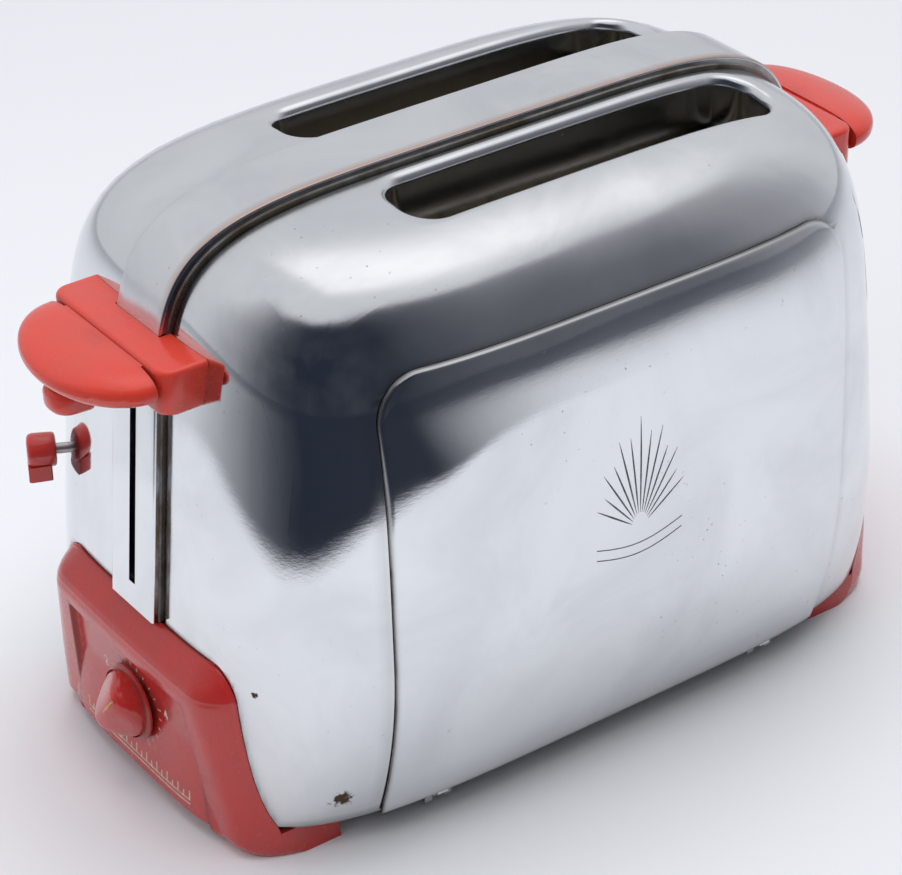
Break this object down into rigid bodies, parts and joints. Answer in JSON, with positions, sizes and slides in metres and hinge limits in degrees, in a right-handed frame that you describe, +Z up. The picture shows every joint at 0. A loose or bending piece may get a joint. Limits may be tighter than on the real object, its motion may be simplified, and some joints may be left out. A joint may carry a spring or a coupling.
{
  "type": "drop side toaster",
  "caption": "Two-slot pop-up toaster with chrome body, domed centre band, hinged side panels, red end handles, lever and browning dial.",
  "frame": {"origin": "centre of the footprint, on the plane the feet rest on", "axes": "+X towards the end away from the lever and dial, +Y towards the far side, where the release button is, +Z up"},
  "size_m": [0.285, 0.158, 0.1806],
  "materials": {
    "chrome_body": "polished, lightly worn",
    "ribbed_steel": "ribbed, dull",
    "red_plastic": "polished",
    "steel_parts": "bare",
    "rack_wire": "heat-tinted",
    "inner_sheet": "dull, heat-tinted",
    "pan_sheet": "dull",
    "mica": "matt",
    "copper_winding": "varnished",
    "brass_strip": "bare",
    "brown_plastic": "matt",
    "white_ceramic": "matt",
    "black_rubber": "matt"
  },
  "bodies": {
    "chassis": {"base_pan": "pan_sheet", "front_frame": "inner_sheet", "rear_frame": "inner_sheet", "near_shell": "chrome_body", "far_shell": "chrome_body", "centre_band": "chrome_body", "band_rib": "ribbed_steel", "near_hinge_pins": "steel_parts", "far_hinge_pins": "steel_parts", "near_door_catches": "inner_sheet", "far_door_catches": "inner_sheet", "front_handle": "red_plastic", "rear_handle": "red_plastic", "handle_screws": "steel_parts", "front_base_end": "red_plastic", "rear_base_end": "red_plastic", "base_screws": "steel_parts", "guide_rod": "steel_parts", "carriage_spring": "steel_parts", "near_outer_heater": "mica", "centre_heater": "mica", "far_outer_heater": "mica", "near_guard_grids": "rack_wire", "far_guard_grids": "rack_wire", "dial_bracket": "steel_parts", "bimetal_strip": "brass_strip", "latch_pin": "steel_parts", "latch_coil": "copper_winding", "release_guide": "steel_parts", "switch_block": "brown_plastic", "terminal_block": "white_ceramic", "bus_bars": "brass_strip", "cord_bush": "black_rubber"},
    "near_door": {"near_drop_door": "chrome_body"},
    "far_door": {"far_drop_door": "chrome_body"},
    "carriage_group": {"carriage": "steel_parts", "near_bread_rack": "rack_wire", "far_bread_rack": "rack_wire", "lever_knob": "red_plastic"},
    "dial_group": {"dial_knob": "red_plastic", "dial_shaft": "steel_parts"},
    "release_group": {"release_button": "red_plastic", "release_stem": "steel_parts"},
    "latch": {"latch_hook": "steel_parts"}
  },
  "joints": [
    {"name": "near_door_hinge", "type": "hinge", "parent": "chassis", "child": "near_door", "pos_m": [0, -0.062, 0.008], "axis": [1, 0, 0], "range_deg": [0, 75]},
    {"name": "far_door_hinge", "type": "hinge", "parent": "chassis", "child": "far_door", "pos_m": [0, 0.062, 0.008], "axis": [-1, 0, 0], "range_deg": [0, 75]},
    {"name": "lever_slide", "type": "slide", "parent": "chassis", "child": "carriage_group", "axis": [0, 0, 1], "range_m": [-0.062, 0], "stiffness_N_per_m": 60, "springref_m": 0.03, "deforming": ["carriage_spring"]},
    {"name": "dial_turn", "type": "hinge", "parent": "chassis", "child": "dial_group", "pos_m": [-0.12, 0, 0.029], "axis": [-1, 0, 0], "range_deg": [-120, 120]},
    {"name": "release_push", "type": "slide", "parent": "chassis", "child": "release_group", "axis": [0.8988, -0.4384, 0], "range_m": [0, 0.002], "stiffness_N_per_m": 300, "springref_m": -0.003},
    {"name": "latch_pivot", "type": "hinge", "parent": "chassis", "child": "latch", "pos_m": [-0.063, 0, 0.034], "axis": [0, 1, 0], "range_deg": [0, 7]}
  ],
  "couplings": [
    {"joint": "latch_pivot", "follows": "release_push", "rad_per_m": 60}
  ]
}
